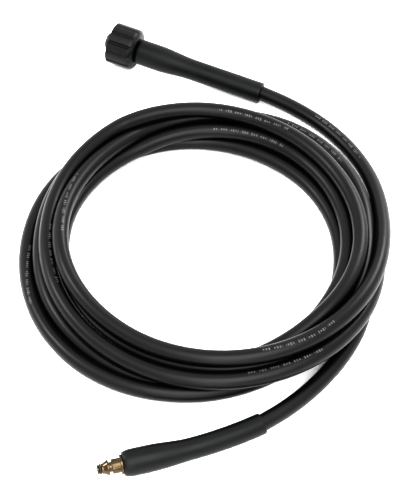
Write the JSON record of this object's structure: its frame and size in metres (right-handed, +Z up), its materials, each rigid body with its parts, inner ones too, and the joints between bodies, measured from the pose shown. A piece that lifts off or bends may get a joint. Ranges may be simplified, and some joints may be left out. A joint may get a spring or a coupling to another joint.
{
  "type": "pressure washer hose",
  "caption": "Black rubber pressure hose in a loose coil, with a grooved hand nut on one end and a brass quick plug on the other.",
  "frame": {"origin": "centre of the footprint, on the floor that the coil lies on", "axes": "+Z up; both hose ends point towards -X, the hand nut on the +Y side and the brass plug on the -Y side"},
  "size_m": [0.308, 0.4571, 0.0383],
  "materials": {
    "hose_rubber": "satin black extruded rubber",
    "sleeve_rubber": "matt black moulded rubber",
    "nut_plastic": "satin black moulded plastic",
    "seal_rubber": "smooth black seal rubber",
    "brass": "turned bare brass",
    "ferrule_steel": "zinc-plated crimped steel"
  },
  "bodies": {
    "hose": {"hose_coil": "hose_rubber", "hose_tail_nut": "hose_rubber", "hose_tail_plug": "hose_rubber", "nut_nipple": "brass", "nipple_o_ring": "seal_rubber", "nut_ferrule": "ferrule_steel", "nut_sleeve": "sleeve_rubber", "quick_plug": "brass", "plug_o_ring": "seal_rubber", "plug_ferrule": "ferrule_steel", "plug_sleeve": "sleeve_rubber"},
    "nut": {"hand_nut": "nut_plastic"}
  },
  "joints": [
    {"name": "nut_swivel", "type": "hinge", "parent": "hose", "child": "nut", "pos_m": [-0.07999, 0.21132, 0.01989], "axis": [-0.9227, 0.3784, 0.0737], "continuous": true}
  ]
}
